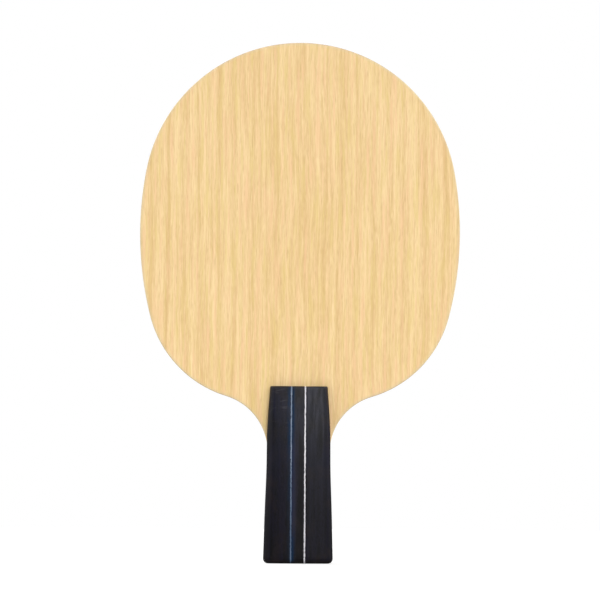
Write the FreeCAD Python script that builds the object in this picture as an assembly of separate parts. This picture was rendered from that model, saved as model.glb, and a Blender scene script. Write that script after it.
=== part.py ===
import FreeCAD, Part
import math
import os

# Table tennis paddle of the Chinese penhold kind: a bare wooden blade with a short handle.
#
# The blade is five wooden plies glued face to face. Every ply runs the full length, from the crown
# of the head down through the handle as its tongue. A laminated scale is glued to each side of the
# tongue, and the handle is then shaped as one, so the tongue and both scales are flush all round.
# Each scale is five strips side by side: three thick dark blocks with a thin blue veneer and a thin
# white veneer between them.
#
# Frame: millimetres, +Z from the butt of the handle to the crown, X across the width, Y through the
# thickness. The front faces -Y. The origin is the centre of the butt end. The two scales are alike,
# a half turn about Z apart, and the strips of each are named as seen by someone facing that scale.

# Overall sizes
OVERALL_LENGTH = 244.0
HEAD_WIDTH = 150.0
HANDLE_LENGTH = 83.0

# Head outline: a chain of tangent arcs, mirrored about the centre line
CROWN_RADIUS = 73.5
SIDE_RADIUS = 157.0
CHEEK_RADIUS = 52.7
NECK_RADIUS = 27.5
CHEEK_START_DEGREES = 14.5  # how far below the widest point the side arc gives way to the cheek arc
NECK_INSET = 0.35  # how far the neck arcs run in past the sides of the handle

# Plies, from each face inwards
FACE_PLY = 0.6
INNER_PLY = 0.8
CORE_PLY = 3.1
EDGE_ROUNDING = 0.45  # on the outer edge of both face plies

# Handle stations from butt to top: height, half width, scale thickness, corner radius
NECK_STATION = (58.0, 14.9, 7.5, 4.0)  # the narrow of the handle, where the neck arcs run in
HANDLE_STATIONS = (
    (0.0, 16.45, 8.6, 4.4),
    (16.0, 15.98, 8.55, 4.4),
    (32.0, 15.44, 8.4, 4.3),
    (46.0, 14.98, 8.1, 4.2),
    NECK_STATION,
    (70.0, 14.43, 6.3, 3.5),
    (HANDLE_LENGTH, 13.45, 4.4, 2.8),
)
SCALE_CROWN_RADIUS = 120.0  # the gentle crown across each scale
BUTT_ROUNDING = 2.2
TOP_ROUNDING = 0.6

# Veneers of the front scale: the X of the middle of each, and the thickness of both
BLUE_VENEER_MIDDLE = -3.45
WHITE_VENEER_MIDDLE = 3.05
VENEER = 0.7

# Values worked out from the sizes above
BLADE_THICKNESS = 2 * (FACE_PLY + INNER_PLY) + CORE_PLY
HALF_BLADE = BLADE_THICKNESS / 2
REACH = OVERALL_LENGTH  # past the part in every direction


def vector(x, y, z):
    return FreeCAD.Vector(x, y, z)


def block(low, high):
    """A box from its lowest corner to its highest."""
    size = high.sub(low)
    return Part.makeBox(size.x, size.y, size.z, low)


def arc_centres():
    """Centres of the crown, side, cheek and neck arcs of the right half, as (x, z)."""
    crown = (0.0, OVERALL_LENGTH - CROWN_RADIUS)
    side_x = HEAD_WIDTH / 2 - SIDE_RADIUS
    side_drop = math.sqrt((SIDE_RADIUS - CROWN_RADIUS) ** 2 - side_x**2)
    side = (side_x, crown[1] - side_drop)
    turn = math.radians(CHEEK_START_DEGREES)
    inward = SIDE_RADIUS - CHEEK_RADIUS
    cheek = (side[0] + inward * math.cos(turn), side[1] - inward * math.sin(turn))
    neck_x = NECK_STATION[1] - NECK_INSET + NECK_RADIUS
    neck_drop = math.sqrt((CHEEK_RADIUS + NECK_RADIUS) ** 2 - (neck_x - cheek[0]) ** 2)
    neck = (neck_x, cheek[1] - neck_drop)
    return crown, side, cheek, neck


def on_circle(centre, radius, degrees):
    """A point (x, z) on a circle, with the angle from +X towards +Z."""
    turn = math.radians(degrees)
    return (centre[0] + radius * math.cos(turn), centre[1] + radius * math.sin(turn))


def heading(start, end):
    """The angle from one (x, z) to another, in degrees."""
    return math.degrees(math.atan2(end[1] - start[1], end[0] - start[0]))


def head_arcs():
    """The right half of the head, from crown to neck: (start, middle, end) of each arc."""
    crown, side, cheek, neck = arc_centres()
    crown_end = heading(side, crown)
    cheek_end = heading(cheek, neck)
    spans = (
        (crown, CROWN_RADIUS, 90.0, crown_end),
        (side, SIDE_RADIUS, crown_end, -CHEEK_START_DEGREES),
        (cheek, CHEEK_RADIUS, -CHEEK_START_DEGREES, cheek_end),
        (neck, NECK_RADIUS, cheek_end + 180.0, 180.0),
    )
    return [
        tuple(on_circle(centre, radius, turn) for turn in (first, (first + last) / 2, last))
        for centre, radius, first, last in spans
    ]


def head_wire(y):
    """The closed head outline at a height y, ending in a straight line inside the tongue."""
    right = [[vector(x, y, z) for x, z in arc] for arc in head_arcs()]
    left = [[vector(-p.x, p.y, p.z) for p in reversed(arc)] for arc in reversed(right)]
    edges = [Part.Arc(*arc).toShape() for arc in right]
    edges.append(Part.makeLine(right[-1][-1], left[0][0]))
    edges += [Part.Arc(*arc).toShape() for arc in left]
    return Part.Wire(edges)


def head_plate(low, high, rounded_face=None):
    """The head as a plate from y = low to y = high. The edge on rounded_face is eased."""
    plate = Part.Face(head_wire(low)).extrude(vector(0, high - low, 0))
    if rounded_face is None:
        return plate
    edges = [
        edge
        for edge in plate.Edges
        if isinstance(edge.Curve, Part.Circle)
        and all(abs(v.Point.y - rounded_face) < 1e-6 for v in edge.Vertexes)
    ]
    return plate.makeFillet(EDGE_ROUNDING, edges)


def handle_section(z, half_width, scale_thickness, corner):
    """A cross-section of the handle: flat sides, crowned faces and tangent round corners."""
    half_depth = HALF_BLADE + scale_thickness
    crown_y = half_depth - SCALE_CROWN_RADIUS
    corner_x = half_width - corner
    corner_y = crown_y + math.sqrt((SCALE_CROWN_RADIUS - corner) ** 2 - corner_x**2)
    tilt = math.atan2(corner_x, corner_y - crown_y)  # of the crown where the corner meets it
    middle = math.pi / 4 - tilt / 2
    side_end = (half_width, corner_y)
    corner_middle = (corner_x + corner * math.cos(middle), corner_y + corner * math.sin(middle))
    crown_end = (
        SCALE_CROWN_RADIUS * math.sin(tilt),
        crown_y + SCALE_CROWN_RADIUS * math.cos(tilt),
    )

    def left(point):
        return (-point[0], point[1])

    back_half = (
        ((half_width, -corner_y), side_end),
        (side_end, corner_middle, crown_end),
        (crown_end, (0.0, half_depth), left(crown_end)),
        (left(crown_end), left(corner_middle), left(side_end)),
    )
    edges = []
    for turn in (1, -1):  # the front half is the back half, given half a turn about Z
        for points in back_half:
            ends = [vector(turn * x, turn * y, z) for x, y in points]
            curve = Part.LineSegment(*ends) if len(ends) == 2 else Part.Arc(*ends)
            edges.append(curve.toShape())
    return Part.Wire(edges)


def handle_envelope():
    """The shaped handle as one solid, before it is divided into tongue and scales."""
    solid = Part.makeLoft([handle_section(*station) for station in HANDLE_STATIONS], True, False)
    for height, rounding in ((0.0, BUTT_ROUNDING), (HANDLE_LENGTH, TOP_ROUNDING)):
        rim = [
            edge
            for edge in solid.Edges
            if abs(edge.BoundBox.ZMin - height) < 1e-3 and abs(edge.BoundBox.ZMax - height) < 1e-3
        ]
        solid = solid.makeFillet(rounding, rim)
    return solid


def ply(envelope, low, high, rounded_face=None):
    """One ply of the blade, from y = low to y = high: its head and its tongue."""
    tongue = envelope.common(block(vector(-REACH, low, -REACH), vector(REACH, high, REACH)))
    return head_plate(low, high, rounded_face).fuse(tongue)


def plies(envelope):
    """The five plies by node name, front to back."""
    inner = HALF_BLADE - FACE_PLY
    core = CORE_PLY / 2
    return {
        "front_face_ply": ply(envelope, -HALF_BLADE, -inner, -HALF_BLADE),
        "front_inner_ply": ply(envelope, -inner, -core),
        "core_ply": ply(envelope, -core, core),
        "back_inner_ply": ply(envelope, core, inner),
        "back_face_ply": ply(envelope, inner, HALF_BLADE, HALF_BLADE),
    }


def scale_strips(envelope):
    """The five strips of the front scale by name, left to right."""
    half_veneer = VENEER / 2
    cuts = (
        ("left_block", -REACH, BLUE_VENEER_MIDDLE - half_veneer),
        ("blue_veneer", BLUE_VENEER_MIDDLE - half_veneer, BLUE_VENEER_MIDDLE + half_veneer),
        ("centre_block", BLUE_VENEER_MIDDLE + half_veneer, WHITE_VENEER_MIDDLE - half_veneer),
        ("white_veneer", WHITE_VENEER_MIDDLE - half_veneer, WHITE_VENEER_MIDDLE + half_veneer),
        ("right_block", WHITE_VENEER_MIDDLE + half_veneer, REACH),
    )
    return {
        name: envelope.common(
            block(vector(low, -REACH, -REACH), vector(high, -HALF_BLADE, REACH))
        )
        for name, low, high in cuts
    }


def scales(envelope):
    """The strips of both scales by node name. The back scale is the front one, turned about Z."""
    nodes = {}
    for name, strip in scale_strips(envelope).items():
        turned = strip.copy()
        turned.rotate(vector(0, 0, 0), vector(0, 0, 1), 180)
        nodes["front_scale_" + name] = strip
        nodes["back_scale_" + name] = turned
    return nodes


def main():
    os.makedirs("parts", exist_ok=True)
    envelope = handle_envelope()
    for name, shape in {**plies(envelope), **scales(envelope)}.items():
        shape.exportStep(f"parts/{name}.step")


main()
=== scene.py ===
import math

import bpy
import numpy as np
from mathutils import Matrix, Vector, noise
from mathutils.bvhtree import BVHTree


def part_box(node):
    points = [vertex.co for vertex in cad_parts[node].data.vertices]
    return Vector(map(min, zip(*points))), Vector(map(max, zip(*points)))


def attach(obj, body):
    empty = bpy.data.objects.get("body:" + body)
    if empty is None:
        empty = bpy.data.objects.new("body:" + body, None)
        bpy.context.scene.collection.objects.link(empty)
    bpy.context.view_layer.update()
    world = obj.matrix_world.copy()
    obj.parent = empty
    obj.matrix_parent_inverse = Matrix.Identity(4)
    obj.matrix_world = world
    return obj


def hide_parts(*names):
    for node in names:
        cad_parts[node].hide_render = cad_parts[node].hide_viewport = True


# A bare penhold table tennis blade: five glued plies, with a laminated scale on each side of the
# tongue. Every piece is a finely divided copy of its CAD node, sanded a little at its edges, and
# stands for that node. Shapes are in metres and materials work in millimetres.

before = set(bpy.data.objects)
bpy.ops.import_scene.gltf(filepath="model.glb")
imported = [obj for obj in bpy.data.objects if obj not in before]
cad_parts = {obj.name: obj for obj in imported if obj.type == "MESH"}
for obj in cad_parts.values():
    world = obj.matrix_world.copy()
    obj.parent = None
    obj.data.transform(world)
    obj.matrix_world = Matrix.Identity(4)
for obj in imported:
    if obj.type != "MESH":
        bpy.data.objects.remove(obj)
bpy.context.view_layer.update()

MM = 0.001
PLIES = ("front_face_ply", "front_inner_ply", "core_ply", "back_inner_ply", "back_face_ply")
STRIPS = ("left_block", "blue_veneer", "centre_block", "white_veneer", "right_block")

# Finely divided shapes
OUTLINE_STEP = 0.7 * MM  # between points along a ply's outline
ROW_STEP = 1.2 * MM  # between rows along a scale
SEAM_EASE = 0.04 * MM  # the hairline bevel on both sides of every glue line
FACE_ROUNDING = 0.45 * MM  # the sanded edge round both playing faces
WEAR_WIDTH = 1.6 * MM  # how far in from its outline a playing face is worn
FLAT_INSET = 2.4 * MM  # how far in from its outline the flat of a playing face starts
BUTT_ROUNDING = 2.2 * MM
TOP_ROUNDING = 0.6 * MM
RIM_ROWS, BUTT_ROWS, TOP_ROWS = 6, 10, 6  # rows round each of these roundings
RIM_SHARP, SCALE_SHARP = 50.0, 40.0  # edges bent by more degrees than this look sharp
NECK_BLEND = 9.0 * MM  # how far above the neck the rim's rounding is full
CORNER = 4.0 * MM  # how far inside a scale's corners the rays that measure them meet
CORNER_POINTS, SIDE_POINTS = 12, 5  # points round a scale's corner, and up its side
OUTER_POINTS, CENTRE_POINTS, VENEER_POINTS = 8, 7, 2  # points over the crown of a strip
SEAM_CLEARANCE = 0.1 * MM  # how far a ray keeps from a scale's glued side
END_CLEARANCE = 0.002 * MM  # how far a ray keeps from both ends of a scale
RAY_START = 60.0 * MM  # how far out a ray starts
SETTLING = 6  # rounds of smoothing along a scale
SANDING = 0.035 * MM  # how unevenly the rim was sanded
BROAD_SANDING, FINE_SANDING = 9.0 * MM, 2.3 * MM  # the lengths of its waves
SOFTNESS = {"face": 0.5, "inner": 0.7, "core": 1.6}  # how deep sanding bites into each wood
TONGUE_SANDING = 0.3  # the share of the sanding that the tongue gets
SEAM_WEAR, RIM_WEAR = 0.3, 0.5  # wear at a glue line, and at both ends of the rim's rounding
WANDER = 0.11 * MM  # how far the thin veneers of a scale stray from a straight line
SLOW_WANDER, QUICK_WANDER = 11.0, 2.1  # the lengths of its waves, in millimetres
SAME = 0.01 * MM  # places closer than this are one place


# ---------------------------------------------------------------- shapes


def smooth_loop(points, step):
    """A smooth closed curve through the points, as points about one step apart.

    A span more than four times as long as one beside it is straight.
    """
    curve = []
    for i in range(len(points)):
        a, b, c, d = (points[(i + k) % len(points)] for k in (-1, 0, 1, 2))
        if (c - b).length > 4 * min((b - a).length, (d - c).length):
            curve += [b.lerp(c, t) for t in np.linspace(0, 1, round((c - b).length / step))[:-1]]
            continue
        tb = (b - a).length ** 0.5
        tc = tb + (c - b).length ** 0.5
        td = tc + (d - c).length ** 0.5
        count = max(1, round((c - b).length / step))
        for t in np.linspace(tb, tc, count, endpoint=False):
            ab = a.lerp(b, t / tb)
            bc = b.lerp(c, (t - tb) / (tc - tb))
            cd = c.lerp(d, (t - tc) / (td - tc))
            abc = ab.lerp(bc, t / tc)
            bcd = bc.lerp(cd, (t - tb) / (td - tb))
            curve.append(abc.lerp(bcd, (t - tb) / (tc - tb)))
    return curve


def ply_outline():
    """The outline that all five plies share, in order round the head, as (x, z)."""
    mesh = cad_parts["core_ply"].data
    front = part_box("core_ply")[0].y
    corners = {}
    for face in mesh.polygons:
        if abs(face.normal.y) < 0.5:
            for index in face.vertices:
                place = mesh.vertices[index].co
                if abs(place.y - front) < SAME:
                    corners[(round(place.x / MM, 2), round(place.z / MM, 2))] = place
    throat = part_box("front_scale_centre_block")[1].z  # all of the outline can be seen from here
    ordered = sorted(corners.values(), key=lambda p: math.atan2(p.z - throat, p.x))
    return smooth_loop([Vector((p.x, p.z)) for p in ordered], OUTLINE_STEP)


def neck_height(outline):
    """Where the head leaves the sides of the handle."""
    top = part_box("front_scale_centre_block")[1].z
    sides = [p for p in outline if p.x > 0 and 0.1 * top < p.y < top]
    return min(sides, key=lambda p: p.x).y


def outward(outline):
    """The unit normals of a closed outline that runs counterclockwise."""
    normals = []
    for i in range(len(outline)):
        along = outline[(i + 1) % len(outline)] - outline[i - 1]
        normals.append(Vector((along.y, -along.x)).normalized())
    return normals


def ramp(value, low, high):
    """0 at low and before it, 1 at high and past it, and smooth between them."""
    t = min(1.0, max(0.0, (value - low) / (high - low)))
    return t * t * (3 - 2 * t)


def finished_mesh(name, rows, edge, flipped, sharp_degrees):
    """A mesh piece from closed rows of points, joined in order, with a cap on its first and last.

    rows are lists of points, all of one length, and edge says how worn each point is. The rows run
    counterclockwise as seen from the last of them, or clockwise if the mesh is flipped.
    """
    width = len(rows[0])
    points = [point for row in rows for point in row]
    faces = []
    for r in range(len(rows) - 1):
        for c in range(width):
            d = (c + 1) % width
            faces.append((r * width + c, r * width + d, (r + 1) * width + d, (r + 1) * width + c))
    last = (len(rows) - 1) * width
    faces.append(tuple(reversed(range(width))))
    faces.append(tuple(range(last, last + width)))
    if flipped:
        faces = [tuple(reversed(face)) for face in faces]
    mesh = bpy.data.meshes.new(name)
    mesh.from_pydata(points, [], faces)
    attribute = mesh.attributes.new("edge", "FLOAT", "POINT")
    attribute.data.foreach_set("value", np.array(edge, np.float32).ravel())
    mesh.shade_smooth()
    mesh.set_sharp_from_angle(angle=math.radians(sharp_degrees))
    piece = bpy.data.objects.new(name, mesh)
    bpy.context.scene.collection.objects.link(piece)
    return piece


def stand_for(piece, node, material):
    """The piece takes its CAD node's place: it gets its material and joins the root body, and the
    node is hidden.
    """
    piece.data.materials.append(material)
    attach(piece, "root")
    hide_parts(node)


def ply_profile(node):
    """Rows across a ply's edge, front to back: (y, inset, inset on the head only, edge wear)."""
    low, high = (corner.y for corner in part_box(node))
    if "face" not in node:
        middle = (low + high) / 2
        return [
            (low, SEAM_EASE, 0.0, SEAM_WEAR),
            (low + SEAM_EASE, 0.0, 0.0, 0.0),
            (middle, 0.0, 0.0, 0.0),
            (high - SEAM_EASE, 0.0, 0.0, 0.0),
            (high, SEAM_EASE, 0.0, SEAM_WEAR),
        ]
    outer, inner = (low, high) if low < 0 else (high, low)
    into = math.copysign(1.0, inner - outer)
    rows = [(outer, FLAT_INSET, 0.0, 0.0), (outer, SEAM_EASE, WEAR_WIDTH - SEAM_EASE, 0.0)]
    for turn in np.linspace(0, math.pi / 2, RIM_ROWS):
        depth = FACE_ROUNDING * (1 - math.cos(turn))
        inset = FACE_ROUNDING * (1 - math.sin(turn))
        wear = RIM_WEAR + (1 - RIM_WEAR) * math.sin(2 * turn)
        rows.append((outer + into * depth, 0.0, inset, wear))
    rows.append((inner - into * SEAM_EASE, 0.0, 0.0, 0.2))
    rows.append((inner, SEAM_EASE, 0.0, SEAM_WEAR))
    return rows if low < 0 else rows[::-1]


def sanded(x, y, z, softness):
    """How far the sanding went past the true outline at a place on the rim."""
    broad = noise.noise(Vector((x, y, z)) / BROAD_SANDING)
    fine = noise.noise(Vector((x, 4 * y, z)) / FINE_SANDING + Vector((7.0, 0.0, 0.0)))
    return SANDING * softness * (0.6 * broad + 0.4 * fine + 0.5)


def build_ply(node, outline, normals, neck, material):
    """One ply with its tongue, from front to back."""
    softness = SOFTNESS[node.replace("_ply", "").split("_")[-1]]
    rows, edge = [], []
    for y, inset, head_inset, wear in ply_profile(node):
        row, values = [], []
        for point, normal in zip(outline, normals):
            on_head = ramp(point.y, neck, neck + NECK_BLEND)
            sanding = TONGUE_SANDING + (1 - TONGUE_SANDING) * on_head
            cut = inset + head_inset * on_head
            cut += sanded(point.x, y, point.y, softness) * sanding
            place = point - normal * cut
            row.append((place.x, y, place.y))
            values.append(wear * on_head)
        rows.append(row)
        edge.append(values)
    piece = finished_mesh(node + "_sanded", rows, edge, True, RIM_SHARP)
    stand_for(piece, node, material)


def scale_tree():
    """The CAD surface of the whole front scale, for rays that come from outside it."""
    points, faces = [], []
    for strip in STRIPS:
        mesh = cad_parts["front_scale_" + strip].data
        first = len(points)
        points += [vertex.co.copy() for vertex in mesh.vertices]
        faces += [[first + index for index in face.vertices] for face in mesh.polygons]
    return BVHTree.FromPolygons(points, faces)


def hit(tree, x, y, z, direction):
    """Where a ray in the plane at height z first meets the scale. It starts well outside."""
    way = Vector(direction).normalized()
    start = Vector((x, y, z)) - way * RAY_START
    place = tree.ray_cast(start, way)[0]
    return Vector((place.x, place.y))


def scale_levels(top):
    """Heights of the rows along a scale, closer together round both rounded ends."""
    butt_turns = np.linspace(0, math.pi / 2, BUTT_ROWS)
    top_turns = np.linspace(0, math.pi / 2, TOP_ROWS)
    count = round((top - TOP_ROUNDING - BUTT_ROUNDING) / ROW_STEP)
    butt = [BUTT_ROUNDING * (1 - math.cos(turn)) for turn in butt_turns]
    middle = list(np.linspace(BUTT_ROUNDING, top - TOP_ROUNDING, count)[1:-1])
    end = [top - TOP_ROUNDING * (1 - math.sin(turn)) for turn in top_turns]
    return butt + middle + end


def flank(tree, side, z, seam):
    """Points up one side of the scale and round its corner, from the seam to the crown."""
    inwards, lowest = (-side, 0, 0), seam - SEAM_CLEARANCE
    half_width = abs(hit(tree, 0.0, lowest, z, inwards).x)
    half_depth = abs(hit(tree, 0.0, 0.0, z, (0, 1, 0)).y)
    centre_y = min(CORNER - half_depth, seam - 4 * SEAM_CLEARANCE)
    centre = Vector((side * (half_width - CORNER), centre_y))
    heights = np.linspace(lowest, centre.y, SIDE_POINTS)[:-1]
    points = [hit(tree, 0.0, y, z, inwards) for y in heights]
    for turn in np.linspace(0, math.pi / 2, CORNER_POINTS):
        way = (-side * math.cos(turn), math.sin(turn), 0)
        points.append(hit(tree, centre.x, centre.y, z, way))
    points[0].y = seam
    return points


def veneer_line(x, z):
    """The x at height z of a glue line that would run at x if it were straight."""
    slow = noise.noise(Vector((x / MM, 0.0, z / MM / SLOW_WANDER)))
    quick = noise.noise(Vector((x / MM, 5.0, z / MM / QUICK_WANDER)))
    return x + WANDER * (slow + 0.6 * quick)


def settle(sections, first, last):
    """Evens out the rows between two levels along the scale, keeping both of those as they are."""
    grid = np.array(sections)
    for _ in range(SETTLING):
        inner = grid[first : last - 1] + 2 * grid[first + 1 : last] + grid[first + 2 : last + 1]
        grid[first + 1 : last] = inner / 4
    return grid


def crown_points(tree, start, stop, z, count):
    """Points over the crown from one x to another, with a hairline bevel at each end."""
    way = math.copysign(1.0, stop - start)
    spots = [start, start + way * 1.5 * SEAM_EASE]
    spots += list(np.linspace(start, stop, count + 2)[1:-1])
    spots += [stop - way * 1.5 * SEAM_EASE, stop]
    points = [hit(tree, x, 0.0, z, (0, 1, 0)) for x in spots]
    points[0].y += SEAM_EASE
    points[-1].y += SEAM_EASE
    return points


def strip_section(tree, strip, z, seam, span):
    """The closed section of one strip at height z, as points (x, y)."""
    left, right = span
    if strip == "left_block":
        side = flank(tree, -1, z, seam)
        crown = crown_points(tree, side[-1].x, veneer_line(right, z), z, OUTER_POINTS)[2:]
        points = side + crown + [Vector((crown[-1].x, seam))]
    elif strip == "right_block":
        side = flank(tree, 1, z, seam)[::-1]
        crown = crown_points(tree, veneer_line(left, z), side[0].x, z, OUTER_POINTS)[:-2]
        points = [Vector((crown[0].x, seam))] + crown + side
    else:
        count = VENEER_POINTS if "veneer" in strip else CENTRE_POINTS
        crown = crown_points(tree, veneer_line(left, z), veneer_line(right, z), z, count)
        points = [Vector((crown[0].x, seam))] + crown + [Vector((crown[-1].x, seam))]
    return points


def end_wear(z, top):
    """How worn a scale is at height z: only round its two rounded ends."""
    butt = ramp(z, BUTT_ROUNDING, 0.3 * BUTT_ROUNDING)
    return max(butt, ramp(z, top - 1.6 * TOP_ROUNDING, top - 0.5 * TOP_ROUNDING))


def build_strip(tree, side, strip, material):
    """One strip of a scale. The back scale is the front one, given half a turn about Z."""
    node = f"{side}_scale_{strip}"
    low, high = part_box("front_scale_" + strip)
    turn = 1 if side == "front" else -1
    levels = scale_levels(high.z)
    lowest, highest = END_CLEARANCE, high.z - END_CLEARANCE
    sections = [
        strip_section(tree, strip, min(max(z, lowest), highest), high.y, (low.x, high.x))
        for z in levels
    ]
    first = next(i for i, z in enumerate(levels) if z > BUTT_ROUNDING - SAME)
    last = next(i for i, z in enumerate(levels) if z > high.z - TOP_ROUNDING - SAME)
    grid = settle([[tuple(p) for p in section] for section in sections], first, last)
    rows = [[(turn * x, turn * y, z) for x, y in row] for row, z in zip(grid, levels)]
    edge = [[end_wear(z, high.z)] * len(rows[0]) for z in levels]
    piece = finished_mesh(node + "_sanded", rows, edge, False, SCALE_SHARP)
    stand_for(piece, node, material)


# ---------------------------------------------------------------- materials


def srgb(red, green, blue):
    """A colour as picked on a screen, 0 to 255, as the linear colour that a shader takes."""
    values = []
    for part in (red, green, blue):
        c = part / 255
        values.append(c / 12.92 if c <= 0.04045 else ((c + 0.055) / 1.055) ** 2.4)
    return (*values, 1.0)


# The woods and dyes
FACE_DARK, FACE_LIGHT = srgb(228, 189, 127), srgb(255, 226, 172)
FACE_ROSY, FACE_STRAW = srgb(248, 204, 156), srgb(237, 208, 134)
FACE_PORE, FACE_WORN = srgb(198, 150, 94), srgb(216, 204, 172)
FACE_END_GRAIN, FACE_TUBE = srgb(196, 152, 98), srgb(150, 104, 62)
FACE_GLUE, EDGE_GLUE = srgb(140, 100, 60), srgb(120, 84, 50)
INNER_LONG = srgb(214, 172, 116), srgb(184, 138, 84)  # light and dark, along the fibres
INNER_CUT = srgb(176, 128, 78), srgb(132, 90, 52)  # light and dark, across the fibres
CORE_LONG = srgb(240, 216, 170), srgb(220, 190, 138)
CORE_CUT = srgb(212, 178, 124), srgb(172, 132, 84)
BLACK_DARK, BLACK_LIGHT = srgb(4, 3, 8), srgb(20, 18, 32)
BLACK_BROWN, BLACK_SLATE, BLACK_PORE = srgb(29, 21, 22), srgb(16, 20, 46), srgb(5, 5, 7)
BLACK_WORN, BLACK_CUT = srgb(60, 55, 52), srgb(13, 12, 14)
BLUE_BLEED, SCUFF = srgb(3, 36, 64), srgb(84, 80, 84)
FIGURE_PALE, FIGURE_DARK = srgb(44, 41, 62), srgb(4, 1, 2)
# Light, dark, deep and shade of each thin veneer
BLUE_DYE = srgb(146, 156, 174), srgb(98, 116, 140), srgb(56, 80, 108), srgb(22, 38, 62)
WHITE_DYE = srgb(242, 240, 244), srgb(220, 217, 222), srgb(206, 204, 209), srgb(90, 88, 93)

# Sizes in the materials, in millimetres
GLUE_LINE = 0.09  # half the width of the dark line at a glue joint
RING_SPACING = 7.9  # between the growth bands of the face veneers
BLEED_REACH = 2.2  # how far the blue dye has crept into the black wood
BLEED_LOW, BLEED_HIGH = 14.0, 62.0  # heights between which its left side fades out downwards
SLATE_LOW, SLATE_HIGH = 26.0, 52.0  # heights between which bluer patches fade in
FIGURE_LOW, FIGURE_HIGH = 52.0, 66.0  # heights between which the centre block's figure fades in
PALE_LOW, PALE_HIGH = 2.0, 22.0  # heights between which its paler wood fades in upwards
PALE_LEFT, PALE_RIGHT = -2.6, 0.3  # the x between which its paler wood fades out
DARK_STREAK, STREAK_REACH = 1.5, 1.8  # the x of its dark streak, and how far that reaches
SCUFFS_LOW, SCUFFS_HIGH = 58.0, 70.0  # heights between which the scuffs come in
SCUFFS_LEFT, SCUFFS_RIGHT = -6.0, -4.0  # the x between which they fade out
SHEEN_MIDDLE, SHEEN_REACH = 2.0, 13.0  # where across a scale its polish is best, and its reach
DULL, POLISHED = 6.0, 46.0  # heights between which the black wood's polish grows full
VENEER_DEEP, VENEER_PALE = 12.0, 70.0  # heights between which the thin veneers grow paler


class Graph:
    """One material's nodes. Its place is in millimetres, as seen by someone facing the piece."""

    def __init__(self, name, turn=1, seed=0.0):
        self.material = bpy.data.materials.new(name)
        self.material.use_nodes = True
        self.tree = self.material.node_tree
        self.shader = self.tree.nodes["Principled BSDF"]
        self.seed = seed
        scale = (turn / MM, turn / MM, 1 / MM)
        source = self.add("ShaderNodeTexCoord").outputs["Object"]
        self.place = self.vector("MULTIPLY", source, scale)
        self.x, self.y, self.z = self.split(self.place)
        self.normal = self.add("ShaderNodeNewGeometry").outputs["Normal"]

    def put(self, socket, value):
        if isinstance(value, bpy.types.NodeSocket):
            self.tree.links.new(value, socket)
        else:
            socket.default_value = value

    def add(self, kind, inputs=None, **settings):
        node = self.tree.nodes.new(kind)
        for name, value in settings.items():
            setattr(node, name, value)
        for key, value in (inputs or {}).items():
            self.put(node.inputs[key], value)
        return node

    def math(self, operation, a, b=0.0):
        return self.add("ShaderNodeMath", {0: a, 1: b}, operation=operation).outputs[0]

    def times(self, first, *others):
        """The product of all the values."""
        product = first
        for value in others:
            product = self.math("MULTIPLY", product, value)
        return product

    def total(self, *parts):
        """The sum of (weight, value) pairs."""
        result = 0.0
        for weight, value in parts:
            result = self.math("ADD", result, self.math("MULTIPLY", value, weight))
        return result

    def vector(self, operation, a, b):
        return self.add("ShaderNodeVectorMath", {0: a, 1: b}, operation=operation).outputs[0]

    def split(self, vector):
        return self.add("ShaderNodeSeparateXYZ", {0: vector}).outputs[:3]

    def join(self, x, y, z):
        return self.add("ShaderNodeCombineXYZ", {0: x, 1: y, 2: z}).outputs[0]

    def noise(self, place, cell, detail=2.0, roughness=0.5, shift=0.0):
        """Soft noise between 0 and 1, with blobs of about the cell's size in millimetres."""
        scaled = self.vector("MULTIPLY", place, tuple(1 / size for size in cell))
        offset = (self.seed + shift, 3.1 * shift - self.seed, 1.7 * self.seed)
        place_in_noise = self.vector("ADD", scaled, offset)
        inputs = {"Vector": place_in_noise, "Scale": 1.0, "Detail": detail, "Roughness": roughness}
        return self.add("ShaderNodeTexNoise", inputs).outputs["Fac"]

    def remap(self, value, low, high, to_low=0.0, to_high=1.0):
        """value from low to high, smoothly, becomes to_low to to_high, and stops at both ends."""
        inputs = {"Value": value, 1: low, 2: high, 3: to_low, 4: to_high}
        node = self.add("ShaderNodeMapRange", inputs, interpolation_type="SMOOTHSTEP")
        return node.outputs["Result"]

    def mix(self, share, first, second):
        node = self.add("ShaderNodeMix", data_type="RGBA")
        self.put(node.inputs["Factor"], share)
        self.put(node.inputs[6], first)
        self.put(node.inputs[7], second)
        return node.outputs[2]

    def tint(self, colour, other, *shares):
        """colour, turned towards the other by the product of the shares."""
        return self.mix(self.times(*shares), colour, other)

    def line(self, value, middle, half_width):
        """1 at the middle, falling smoothly to 0 half a width away on each side."""
        away = self.math("ABSOLUTE", self.math("SUBTRACT", value, middle))
        return self.remap(away, 0.0, half_width, 1.0, 0.0)

    def away(self, middle, ragged, raggedness):
        """How far the place is from a veneer's middle in x, with a ragged noise added."""
        straight = self.math("ABSOLUTE", self.math("SUBTRACT", self.x, middle))
        swing = self.times(self.math("SUBTRACT", ragged, 0.5), raggedness)
        return self.math("ADD", straight, swing)

    def edge(self):
        return self.add("ShaderNodeAttribute", attribute_name="edge").outputs["Fac"]

    def facing(self, axis):
        """How squarely the surface faces along an axis, either way: 0 to 1."""
        parts = self.split(self.normal)
        return self.math("ABSOLUTE", parts["xyz".index(axis)])

    def finish(self, colour, roughness, height, depth, specular):
        """Joins the results to the shader. height is 0 to 1 and depth is in millimetres."""
        relief = {"Strength": 1.0, "Distance": depth * MM, "Height": height}
        bump = self.add("ShaderNodeBump", relief)
        self.put(self.shader.inputs["Base Color"], colour)
        self.put(self.shader.inputs["Roughness"], roughness)
        self.put(self.shader.inputs["Normal"], bump.outputs["Normal"])
        self.put(self.shader.inputs["Specular IOR Level"], specular)
        return self.material


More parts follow.
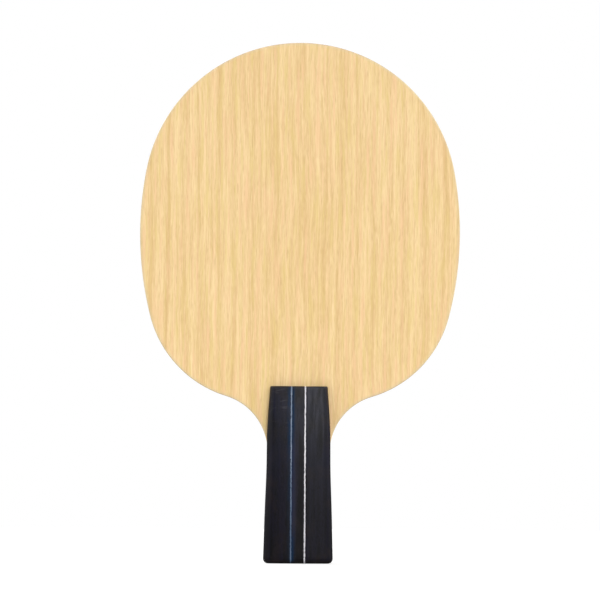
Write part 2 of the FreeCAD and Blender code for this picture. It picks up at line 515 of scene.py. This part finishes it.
def fibre_place(g, fibre, wander, reach):
    """Coordinates with the fibres along z, gently bent so that all streaks wander together."""
    across = g.x if fibre == "z" else g.z
    along = g.z if fibre == "z" else g.x
    bend = g.noise(g.join(across, g.y, along), reach, 1.5, 0.45, 31.0)
    moved = g.times(g.math("SUBTRACT", bend, 0.5), 2 * wander)
    return g.join(g.math("ADD", across, moved), g.y, along)


def end_grain(g, fibre):
    """How much of the surface is cut across its fibres."""
    return g.remap(g.facing(fibre), 0.35, 0.95)


def seam_lines(g, seams):
    """1 on the dark glue lines at these values of y, in millimetres."""
    total = 0.0
    for seam in seams:
        total = g.math("MAXIMUM", total, g.line(g.y, seam, GLUE_LINE))
    return total


def growth_rings(g, fibres):
    """Narrow darker bands along the fibres, where growth rings meet the face of the veneer."""
    drift = g.times(g.noise(fibres, (14.0, 50.0, 420.0), 1.0, 0.4, 2.0), 1.8)
    phase = g.math("ADD", g.math("DIVIDE", g.split(fibres)[0], RING_SPACING), drift)
    wave = g.math("SINE", g.times(phase, 2 * math.pi))
    return g.math("POWER", g.math("ADD", g.times(wave, 0.5), 0.5), 5.0)


def face_veneer(name, turn, seed, seams):
    """Pale, straight-grained, fine-sanded veneer: growth bands, streaks, fibres and pore dashes."""
    g = Graph(name, turn, seed)
    fibres = fibre_place(g, "z", 2.0, (24.0, 30.0, 62.0))
    rings = growth_rings(g, fibres)
    broad = g.noise(fibres, (40.0, 90.0, 300.0), 0.0, 0.4, 3.0)
    streaks = g.noise(fibres, (1.6, 40.0, 46.0), 1.0, 0.5, 5.0)
    strands = g.noise(fibres, (0.5, 20.0, 14.0), 1.0, 0.6, 11.0)
    flecks = g.noise(fibres, (0.42, 12.0, 3.6), 1.0, 0.6, 13.0)
    filaments = g.line(g.noise(fibres, (1.5, 30.0, 34.0), 1.0, 0.6, 15.0), 0.5, 0.05)
    dashes = g.remap(g.noise(fibres, (0.36, 9.0, 6.0), 1.0, 0.5, 17.0), 0.6, 0.74)
    hue = g.noise(fibres, (1.8, 60.0, 30.0), 3.0, 0.65, 23.0)
    weights = (0.4, 0.42, 0.3, 0.2, 0.07, -0.1)
    tone = g.total(*zip(weights, (streaks, strands, flecks, broad, filaments, rings)))
    colour = g.mix(g.remap(tone, 0.36, 0.92), FACE_DARK, FACE_LIGHT)
    colour = g.tint(colour, FACE_ROSY, g.remap(hue, 0.48, 0.72, 0.0, 0.62))
    colour = g.tint(colour, FACE_STRAW, g.remap(hue, 0.52, 0.28, 0.0, 0.66))
    colour = g.tint(colour, FACE_PORE, dashes, 0.24)
    colour = g.tint(colour, FACE_WORN, g.edge(), 0.55)
    cut = end_grain(g, "z")
    tubes = g.remap(g.noise(g.place, (0.3, 0.3, 0.3), 1.0, 0.5, 41.0), 0.42, 0.64)
    colour = g.tint(colour, FACE_END_GRAIN, cut, 0.75)
    colour = g.tint(colour, FACE_TUBE, cut, tubes, 0.35)
    colour = g.tint(colour, FACE_GLUE, seam_lines(g, seams), 0.5)
    roughness = g.remap(strands, 0.3, 0.7, 0.5, 0.64)
    height = g.total((0.6, strands), (-0.7, dashes))
    return g.finish(colour, roughness, height, 0.03, 0.35)


def hidden_wood(name, seed, fibre, long_colours, cut_colours, seams):
    """Wood seen only at its sanded edge, with its fibres along one axis."""
    g = Graph(name, 1, seed)
    fibres = fibre_place(g, fibre, 0.8, (12.0, 6.0, 40.0))
    streaks = g.noise(fibres, (1.1, 0.7, 26.0), 3.0, 0.6, 5.0)
    strands = g.noise(fibres, (0.35, 0.3, 7.0), 2.0, 0.6, 11.0)
    tubes = g.noise(g.place, (0.34, 0.34, 0.34), 2.0, 0.6, 41.0)
    growth = g.noise(g.place, (2.6, 1.6, 2.6), 1.0, 0.5, 47.0)
    tone = g.total((0.6, streaks), (0.4, strands))
    cut_tone = g.total((0.6, tubes), (0.4, growth))
    light, dark = long_colours
    cut_light, cut_dark = cut_colours
    colour = g.mix(g.remap(tone, 0.3, 0.68), dark, light)
    cut_colour = g.mix(g.remap(cut_tone, 0.36, 0.62), cut_dark, cut_light)
    colour = g.tint(colour, cut_colour, end_grain(g, fibre))
    colour = g.tint(colour, EDGE_GLUE, seam_lines(g, seams), 0.55)
    roughness = g.remap(tone, 0.3, 0.7, 0.62, 0.78)
    height = g.total((0.5, tubes), (0.5, strands))
    return g.finish(colour, roughness, height, 0.05, 0.3)


def inner_veneer(name, seed, seams):
    """The cross-laid plies: end grain at both sides of the head, long grain over the crown."""
    return hidden_wood(name, seed, "x", INNER_LONG, INNER_CUT, seams)


def core_wood(name, seed, seams):
    """The soft pale core: long grain at both sides of the head, end grain over the crown."""
    return hidden_wood(name, seed, "z", CORE_LONG, CORE_CUT, seams)


def bleed(g, middle, half_veneer):
    """How much of the blue dye has crept into the wood beside its veneer, less low on the left."""
    ragged = g.noise(g.place, (0.6, 3.0, 1.6), 2.0, 0.6, 53.0)
    away = g.away(middle, ragged, 1.6)
    near = g.remap(away, half_veneer, half_veneer + BLEED_REACH, 1.0, 0.0)
    amount = g.remap(g.noise(g.place, (2.6, 3.0, 12.0), 1.0, 0.5, 59.0), 0.34, 0.58, 0.4, 1.0)
    left = g.remap(g.x, middle + 0.1, middle - 0.1)
    lost = g.times(left, g.remap(g.z, BLEED_HIGH, BLEED_LOW, 0.0, 0.7))
    return g.times(near, amount, g.math("SUBTRACT", 1.0, lost))


def centre_figure(g, colour, blue_middle):
    """The centre block lower down: paler wood beside the blue veneer, and a dark streak past it."""
    low_down = g.remap(g.z, FIGURE_HIGH, FIGURE_LOW)
    right_of_blue = g.remap(g.x, blue_middle, blue_middle + 0.3)
    fading_right = g.remap(g.x, PALE_RIGHT, PALE_LEFT)
    above_butt = g.remap(g.z, PALE_LOW, PALE_HIGH)
    colour = g.tint(colour, FIGURE_PALE, right_of_blue, fading_right, above_butt, low_down, 0.5)
    return g.tint(colour, FIGURE_DARK, g.line(g.x, DARK_STREAK, STREAK_REACH), low_down, 0.7)


def scuffs(g):
    """Faint sideways rubs in a patch or two near the top of the handle, left of the blue veneer."""
    strokes = g.line(g.noise(g.place, (13.0, 4.0, 2.2), 1.0, 0.5, 61.0), 0.5, 0.045)
    patches = g.remap(g.noise(g.place, (6.0, 9.0, 5.0), 1.0, 0.5, 67.0), 0.42, 0.6)
    high_up = g.remap(g.z, SCUFFS_LOW, SCUFFS_HIGH)
    on_the_left = g.remap(g.x, SCUFFS_RIGHT, SCUFFS_LEFT)
    return g.times(strokes, patches, high_up, on_the_left)


def dyed_black_wood(name, turn, seed, blue_middle, half_veneer):
    """Wood dyed black right through: fine lengthwise grain, brownish patches and small pores."""
    g = Graph(name, turn, seed)
    fibres = fibre_place(g, "z", 0.35, (14.0, 14.0, 60.0))
    bands = g.noise(fibres, (2.4, 2.4, 46.0), 1.0, 0.5, 3.0)
    streaks = g.noise(fibres, (1.1, 1.1, 34.0), 2.0, 0.55, 5.0)
    strands = g.noise(fibres, (0.4, 0.4, 7.0), 2.0, 0.6, 11.0)
    speckle = g.noise(g.place, (0.5, 0.5, 0.9), 1.0, 0.5, 13.0)
    patches = g.noise(g.place, (7.0, 7.0, 9.0), 3.0, 0.55, 29.0)
    slate = g.remap(g.noise(g.place, (6.0, 6.0, 12.0), 2.0, 0.5, 73.0), 0.38, 0.6, 0.05, 0.32)
    pores = g.remap(g.noise(fibres, (0.3, 0.3, 3.4), 1.0, 0.5, 17.0), 0.64, 0.74)
    tone = g.total((0.4, bands), (0.25, streaks), (0.15, strands), (0.2, speckle))
    dye = bleed(g, blue_middle, half_veneer)
    colour = g.mix(g.remap(tone, 0.4, 0.6), BLACK_DARK, BLACK_LIGHT)
    colour = g.tint(colour, BLACK_BROWN, g.remap(patches, 0.48, 0.68, 0.0, 0.6))
    colour = g.tint(colour, BLACK_SLATE, slate, g.remap(g.z, SLATE_LOW, SLATE_HIGH))
    colour = g.tint(colour, BLACK_PORE, pores, 0.5)
    colour = g.tint(colour, BLUE_BLEED, dye)
    colour = centre_figure(g, colour, blue_middle)
    colour = g.tint(colour, SCUFF, scuffs(g), 0.22)
    colour = g.tint(colour, BLACK_WORN, g.edge(), 0.3)
    colour = g.tint(colour, BLACK_CUT, end_grain(g, "z"), 0.4)
    roughness = g.remap(tone, 0.4, 0.6, 0.48, 0.35)
    height = g.total((1.0, tone), (-0.8, pores))
    polish = g.total((1.0, g.line(g.x, SHEEN_MIDDLE, SHEEN_REACH)), (-2.0, dye))
    sheen = g.times(g.remap(polish, -2.0, 1.0, 0.13, 0.31), g.remap(g.z, DULL, POLISHED, 0.8, 1.0))
    return g.finish(colour, roughness, height, 0.045, sheen)


def thin_veneer(name, turn, seed, middle, half_veneer, dyes):
    """A thin dyed veneer on edge, deeper towards the butt, with dark wood crept into its sides."""
    g = Graph(name, turn, seed)
    light, dark, deep, shade = dyes
    fibres = fibre_place(g, "z", 0.1, (14.0, 14.0, 45.0))
    strands = g.noise(fibres, (0.2, 0.5, 3.0), 2.0, 0.6, 11.0)
    streaks = g.noise(g.place, (3.0, 3.0, 9.0), 2.0, 0.55, 5.0)
    ragged = g.noise(g.place, (0.5, 3.0, 1.2), 2.0, 0.6, 53.0)
    crept = g.remap(g.away(middle, ragged, 1.4), half_veneer * 0.65, half_veneer * 1.15)
    tone = g.total((0.5, streaks), (0.5, strands))
    colour = g.mix(g.remap(tone, 0.34, 0.66), dark, light)
    colour = g.tint(colour, deep, g.remap(g.z, VENEER_PALE, VENEER_DEEP, 0.0, 0.8))
    colour = g.tint(colour, shade, crept, 0.9)
    colour = g.tint(colour, shade, g.edge(), 0.25)
    roughness = g.remap(tone, 0.3, 0.7, 0.45, 0.58)
    return g.finish(colour, roughness, tone, 0.03, 0.3)


# ---------------------------------------------------------------- the object


def build_plies():
    outline = ply_outline()
    normals = outward(outline)
    neck = neck_height(outline)
    seams = sorted({round(corner.y / MM, 3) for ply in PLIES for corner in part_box(ply)})[1:-1]
    flipped = [-seam for seam in seams]
    materials = {
        "front_face_ply": face_veneer("front_face_veneer", 1, 0.0, seams),
        "front_inner_ply": inner_veneer("front_inner_veneer", 13.0, seams),
        "core_ply": core_wood("core_wood", 29.0, seams),
        "back_inner_ply": inner_veneer("back_inner_veneer", 47.0, seams),
        "back_face_ply": face_veneer("back_face_veneer", -1, 71.0, flipped),
    }
    for node, material in materials.items():
        build_ply(node, outline, normals, neck, material)


def veneer_span(strip):
    """The middle and half the thickness of a thin veneer of the front scale, in millimetres."""
    low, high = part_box("front_scale_" + strip)
    return (low.x + high.x) / 2 / MM, (high.x - low.x) / 2 / MM


def strip_material(side, strip, seed):
    turn = 1 if side == "front" else -1
    name = f"{side}_{strip}_wood"
    if strip == "blue_veneer":
        return thin_veneer(name, turn, seed, *veneer_span(strip), BLUE_DYE)
    if strip == "white_veneer":
        return thin_veneer(name, turn, seed, *veneer_span(strip), WHITE_DYE)
    return dyed_black_wood(name, turn, seed, *veneer_span("blue_veneer"))


def build_scales():
    tree = scale_tree()
    seed = 100.0
    for side in ("front", "back"):
        for strip in STRIPS:
            build_strip(tree, side, strip, strip_material(side, strip, seed))
            seed += 7.7


# ---------------------------------------------------------------- the stage

CAMERA_DISTANCE = 4.0
FRAME_HEIGHT = 0.2816  # what the picture spans from bottom to top at the blade's middle
VIEW_SHIFT = 0.0002  # how far the camera stands to the right of the blade's middle
VIEW_HEIGHT = 0.12342
VIEW_ROLL_DEGREES = -0.38
SENSOR = 36.0

FLOOR_RADIUS = 0.6
FLOOR_SIDES = 96
FLOOR_GAP = 0.15 * MM  # under the butt, so that the two surfaces never share a place
FLOOR_TO_OBJECT, FLOOR_IN_MIRRORS = srgb(195, 195, 195), srgb(90, 90, 90)
FLOOR_IN_VIEW = srgb(160, 160, 160)
FLOOR_GLOW = 0.7  # only as seen by the camera
FLOOR_GLOW_COLOURS = srgb(250, 250, 250), srgb(254, 254, 254)

LIGHT_TARGET = (0.0, 0.0, 0.13)
LIGHTS = (  # name, place, diameter and power
    ("key", (0.85, -3.25, 1.7), 2.6, 69.0),
    ("fill", (-2.8, -1.9, 1.5), 2.4, 16.0),
    ("back", (-1.3, 2.7, 2.3), 1.8, 80.0),
    ("right", (2.8, -1.9, 1.6), 2.4, 19.0),
    ("right_side", (3.3, 0.35, 1.9), 2.2, 62.0),
    ("left_side", (-3.3, 0.25, 1.9), 2.2, 52.0),
)

WORLD_LIGHT = 0.36
WORLD_IN_MIRRORS = (0.028, 0.32)  # in front of the blade and behind it, and at both sides
WORLD_TURN = (0.25, 0.85)  # how far to a side, 0 to 1, that change starts and ends


def floor_material():
    """Pale and softly lit from within, but darker to the object, so that little light comes up."""
    g = Graph("pale_floor")
    mottle = g.noise(g.place, (60.0, 60.0, 60.0), 3.0, 0.6)
    rays = g.add("ShaderNodeLightPath").outputs
    colour = g.mix(rays["Is Glossy Ray"], FLOOR_TO_OBJECT, FLOOR_IN_MIRRORS)
    colour = g.mix(rays["Is Camera Ray"], colour, FLOOR_IN_VIEW)
    g.put(g.shader.inputs["Emission Color"], g.mix(mottle, *FLOOR_GLOW_COLOURS))
    g.put(g.shader.inputs["Emission Strength"], g.times(rays["Is Camera Ray"], FLOOR_GLOW))
    return g.finish(colour, g.remap(mottle, 0.3, 0.7, 0.7, 0.8), mottle, 0.02, 0.2)


def build_floor():
    """A wide pale disc under the butt."""
    turns = [math.tau * i / FLOOR_SIDES for i in range(FLOOR_SIDES)]
    ring = [
        (FLOOR_RADIUS * math.cos(turn), FLOOR_RADIUS * math.sin(turn), -FLOOR_GAP) for turn in turns
    ]
    mesh = bpy.data.meshes.new("floor")
    mesh.from_pydata(ring, [], [tuple(range(FLOOR_SIDES))])
    floor = bpy.data.objects.new("floor", mesh)
    mesh.materials.append(floor_material())
    bpy.context.scene.collection.objects.link(floor)


def soft_light(name, place, size, power):
    """A round soft light at a place, turned towards the blade."""
    data = bpy.data.lights.new(name, "AREA")
    data.shape = "DISK"
    data.size = size
    data.energy = power
    light = bpy.data.objects.new(name, data)
    light.location = place
    way = Vector(LIGHT_TARGET) - Vector(place)
    light.rotation_euler = way.to_track_quat("-Z", "Y").to_euler()
    bpy.context.scene.collection.objects.link(light)


def build_world():
    """Even white light from all round, and plain white behind the object.

    Reflections see it dimmer: nearly dark in front and behind, and brighter towards both sides.
    """
    world = bpy.data.worlds.new("studio")
    world.use_nodes = True
    tree = world.node_tree
    tree.nodes.clear()
    nodes, link = tree.nodes, tree.links.new
    rays = nodes.new("ShaderNodeLightPath").outputs
    way = nodes.new("ShaderNodeSeparateXYZ")
    link(nodes.new("ShaderNodeTexCoord").outputs["Generated"], way.inputs[0])
    sideways = nodes.new("ShaderNodeMath")
    sideways.operation = "ABSOLUTE"
    link(way.outputs["X"], sideways.inputs[0])
    mirrored = nodes.new("ShaderNodeMapRange")
    link(sideways.outputs[0], mirrored.inputs["Value"])
    for index, value in enumerate(WORLD_TURN + WORLD_IN_MIRRORS, 1):
        mirrored.inputs[index].default_value = value
    lighting = nodes.new("ShaderNodeMix")
    link(rays["Is Glossy Ray"], lighting.inputs["Factor"])
    lighting.inputs[2].default_value = WORLD_LIGHT
    link(mirrored.outputs[0], lighting.inputs[3])
    strength = nodes.new("ShaderNodeMix")
    link(rays["Is Camera Ray"], strength.inputs["Factor"])
    link(lighting.outputs[0], strength.inputs[2])
    strength.inputs[3].default_value = 1.0
    background = nodes.new("ShaderNodeBackground")
    background.inputs["Color"].default_value = (1, 1, 1, 1)
    link(strength.outputs[0], background.inputs["Strength"])
    output = nodes.new("ShaderNodeOutputWorld")
    link(background.outputs["Background"], output.inputs["Surface"])
    bpy.context.scene.world = world


def build_camera():
    data = bpy.data.cameras.new("camera")
    data.sensor_width = SENSOR
    data.lens = SENSOR * CAMERA_DISTANCE / FRAME_HEIGHT
    camera = bpy.data.objects.new("camera", data)
    camera.location = (VIEW_SHIFT, -CAMERA_DISTANCE, VIEW_HEIGHT)
    camera.rotation_euler = (math.pi / 2, math.radians(VIEW_ROLL_DEGREES), 0.0)
    bpy.context.scene.collection.objects.link(camera)
    bpy.context.scene.camera = camera


def build_stage():
    build_floor()
    for light in LIGHTS:
        soft_light(*light)
    build_world()
    build_camera()
    view = bpy.context.scene.view_settings
    view.view_transform = "Standard"
    view.look = "None"


build_plies()
build_scales()
build_stage()
